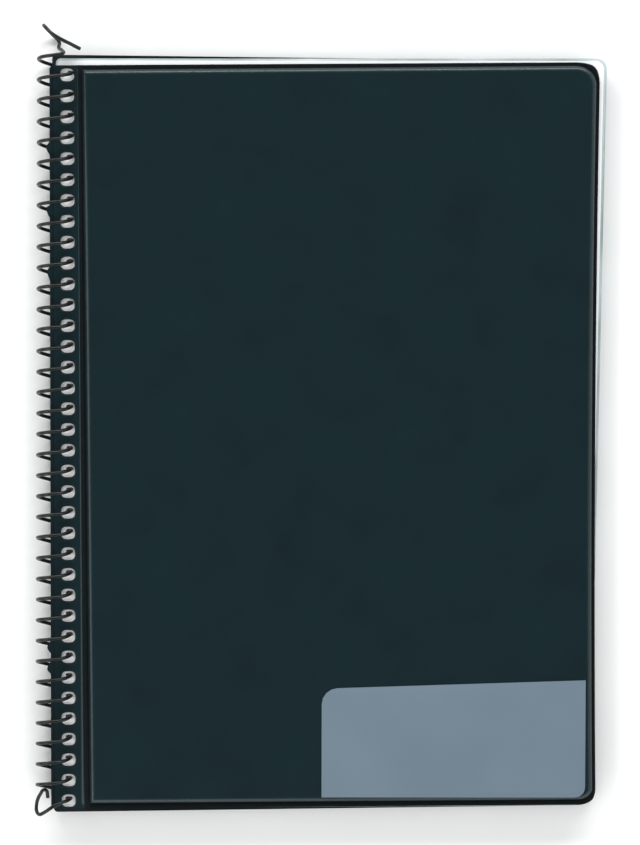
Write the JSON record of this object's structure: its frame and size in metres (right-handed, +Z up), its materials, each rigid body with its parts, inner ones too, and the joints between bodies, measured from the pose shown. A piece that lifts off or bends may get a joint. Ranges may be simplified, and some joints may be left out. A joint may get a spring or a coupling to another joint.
{
  "type": "music folder",
  "caption": "Spiral-bound portrait folder with padded vinyl covers, clear sleeves on a wire coil and a clear label pocket on the front.",
  "frame": {"origin": "on the resting surface, under the middle of the whole folder", "axes": "+X from the spine to the fore edge, +Y to the head of the covers, +Z up out of the front cover"},
  "size_m": [0.1746, 0.242, 0.0115],
  "materials": {
    "cover_vinyl": "fine leather grain, matte",
    "cover_liner": "smooth satin",
    "cover_board": "raw greyboard",
    "sleeve_film": "clear film, milky in a stack",
    "pocket_film": "clear glossy film over the dark cover",
    "coil_wire": "nylon coated, semi-gloss"
  },
  "bodies": {
    "back_panel": {"back_cover_outer_skin": "cover_vinyl", "back_cover_board": "cover_board", "back_cover_inner_skin": "cover_liner"},
    "back_strip": {"back_cover_strip": "cover_vinyl"},
    "coil_and_sleeves": {"spiral_coil": "coil_wire", "clear_sleeves": "sleeve_film"},
    "front_strip": {"front_cover_strip": "cover_vinyl"},
    "front_panel": {"front_cover_outer_skin": "cover_vinyl", "front_cover_board": "cover_board", "front_cover_inner_skin": "cover_liner", "label_pocket_film": "pocket_film"}
  },
  "joints": [
    {"name": "back_crease", "type": "hinge", "parent": "back_panel", "child": "back_strip", "pos_m": [-0.07136, 0, 0.00175], "axis": [0, -1, 0], "range_deg": [0, 130]},
    {"name": "back_cover_on_coil", "type": "hinge", "parent": "back_strip", "child": "coil_and_sleeves", "pos_m": [-0.08071, 0, 0.00575], "axis": [0, -1, 0], "range_deg": [0, 50]},
    {"name": "front_cover_on_coil", "type": "hinge", "parent": "coil_and_sleeves", "child": "front_strip", "pos_m": [-0.08071, 0, 0.00575], "axis": [0, -1, 0], "range_deg": [0, 50]},
    {"name": "front_crease", "type": "hinge", "parent": "front_strip", "child": "front_panel", "pos_m": [-0.07136, 0, 0.0075], "axis": [0, -1, 0], "range_deg": [0, 130]}
  ]
}
